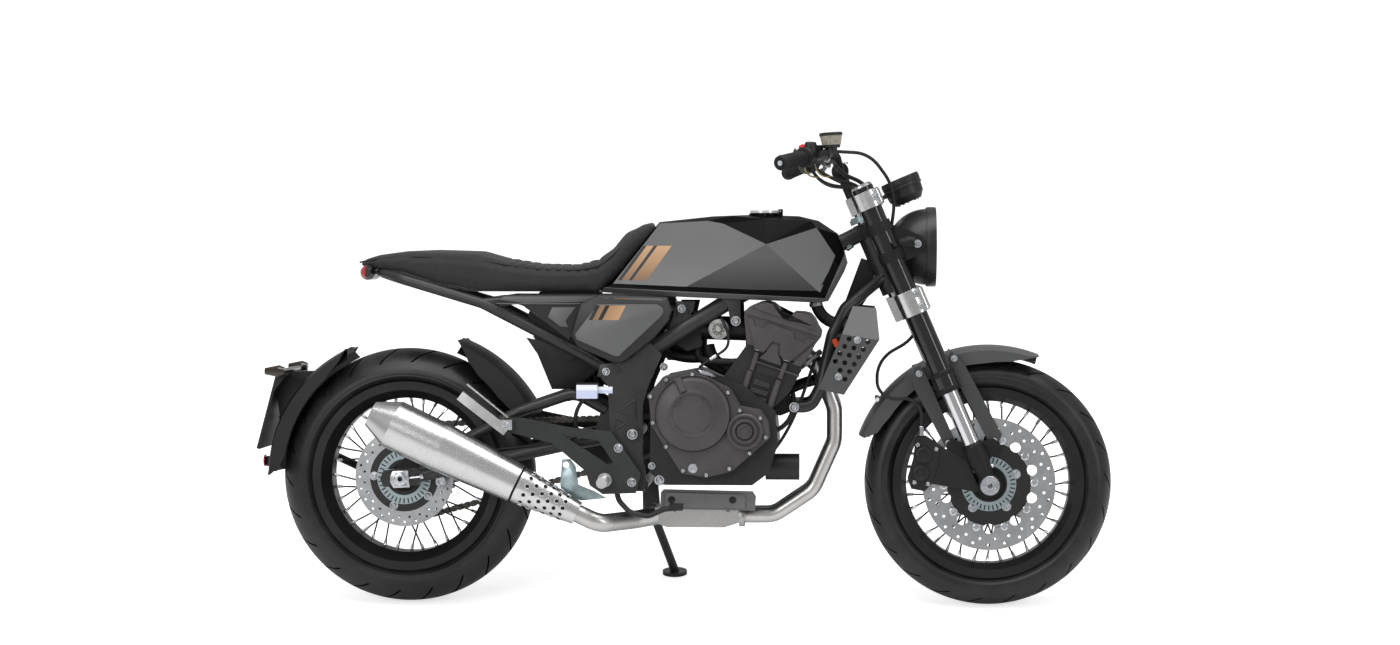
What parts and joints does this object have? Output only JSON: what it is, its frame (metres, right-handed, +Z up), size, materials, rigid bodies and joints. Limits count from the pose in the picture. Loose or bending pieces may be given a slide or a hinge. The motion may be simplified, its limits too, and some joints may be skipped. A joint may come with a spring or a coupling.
{
  "type": "cafe racer motorcycle",
  "caption": "Unfaired cafe racer motorcycle on its side stand: wire wheels, faceted tank, humped seat, round headlight; wheels, steering, stand and filler cap move.",
  "frame": {"origin": "on the ground, under the middle of the parked machine's bounding box", "axes": "+X forward, +Y to the machine's left, +Z up; the machine leans 10 degrees to +Y on its side stand"},
  "size_m": [2.0858, 0.7856, 1.1708],
  "materials": {
    "tyre": "matt black rubber with road tread",
    "rim": "satin black",
    "hub": "satin black with dark spokes",
    "steel": "plain steel",
    "disc": "ground steel, drilled",
    "chain": "oiled steel",
    "fork_black": "gloss black",
    "fork_foot": "matt black",
    "stanchion": "hard chrome",
    "clamp": "machined, silver",
    "frame": "satin black",
    "arm": "satin black",
    "shock": "dark grey",
    "engine": "satin dark grey",
    "engine_cover": "satin dark grey-brown",
    "intake": "cast aluminium and black rubber",
    "radiator": "black core",
    "guard": "mid grey",
    "exhaust": "brushed stainless",
    "shield": "matt black",
    "muffler": "brushed stainless with a black ring",
    "tank": "black top and grey sides",
    "cap": "black anodised",
    "seat": "black speckled cover",
    "tray": "black",
    "side_cover": "mid grey",
    "tail_lens": "red",
    "mudguard": "satin dark grey",
    "indicator": "black with amber lens",
    "hanger": "textured black",
    "peg": "plain, grooved",
    "pedal": "black",
    "caliper": "satin black",
    "reservoir": "translucent white",
    "handlebar": "satin black",
    "grip": "black, ribbed",
    "control": "black",
    "instrument": "black",
    "headlight": "gloss black",
    "glass": "clear",
    "hose": "black",
    "stand": "black"
  },
  "bodies": {
    "frame": {"rear_axle": "steel", "drive_chain": "chain", "main_frame": "frame", "rear_subframe": "frame", "swingarm": "arm", "rear_shock": "shock", "engine_crankcase": "engine", "cylinder_head": "engine", "clutch_cover": "engine_cover", "generator_cover": "engine_cover", "throttle_bodies": "intake", "radiator": "radiator", "radiator_guards": "guard", "exhaust_pipes": "exhaust", "exhaust_heat_shield": "shield", "muffler": "muffler", "fuel_tank": "tank", "seat": "seat", "under_seat_tray": "tray", "side_covers": "side_cover", "tail_light": "tail_lens", "rear_indicators": "indicator", "rear_mudguard": "mudguard", "rear_hugger": "mudguard", "footpeg_hangers": "hanger", "footpegs": "peg", "foot_pedals": "pedal", "rear_caliper": "caliper", "rear_brake_reservoir": "reservoir"},
    "steering": {"fork_clamps": "clamp", "fork_tubes": "fork_black", "fork_stanchions": "stanchion", "fork_feet": "fork_foot", "front_axle": "steel", "front_mudguard": "mudguard", "front_caliper": "caliper", "handlebar": "handlebar", "grips": "grip", "hand_controls": "control", "instrument": "instrument", "headlight": "headlight", "headlight_glass": "glass", "headlight_bracket": "handlebar", "front_brake_hose": "hose"},
    "front_wheel": {"front_tyre": "tyre", "front_rim": "rim", "front_hub": "hub", "front_disc": "disc"},
    "rear_wheel": {"rear_tyre": "tyre", "rear_rim": "rim", "rear_hub": "hub", "rear_disc": "disc", "rear_sprocket": "steel"},
    "side_stand": {"side_stand": "stand"},
    "filler_cap": {"filler_cap": "cap"}
  },
  "joints": [
    {"name": "steering_turn", "type": "hinge", "parent": "frame", "child": "steering", "pos_m": [0.47996, -0.03003, 0.82851], "axis": [-0.3955, 0.1595, 0.9045], "range_deg": [-32, 32]},
    {"name": "front_wheel_roll", "type": "hinge", "parent": "steering", "child": "front_wheel", "pos_m": [0.743, -0.1238, 0.29672], "axis": [0, 0.9848, -0.1736], "continuous": true},
    {"name": "rear_wheel_roll", "type": "hinge", "parent": "frame", "child": "rear_wheel", "pos_m": [-0.677, -0.12171, 0.30854], "axis": [0, 0.9848, -0.1736], "continuous": true},
    {"name": "side_stand_fold", "type": "hinge", "parent": "frame", "child": "side_stand", "pos_m": [-0.087, -0.01661, 0.19049], "axis": [0, 0.9848, -0.1736], "range_deg": [0, 100]},
    {"name": "filler_cap_hinge", "type": "hinge", "parent": "frame", "child": "filler_cap", "pos_m": [0.237, -0.00919, 0.94669], "axis": [0, 0.9848, -0.1736], "range_deg": [0, 95]}
  ]
}
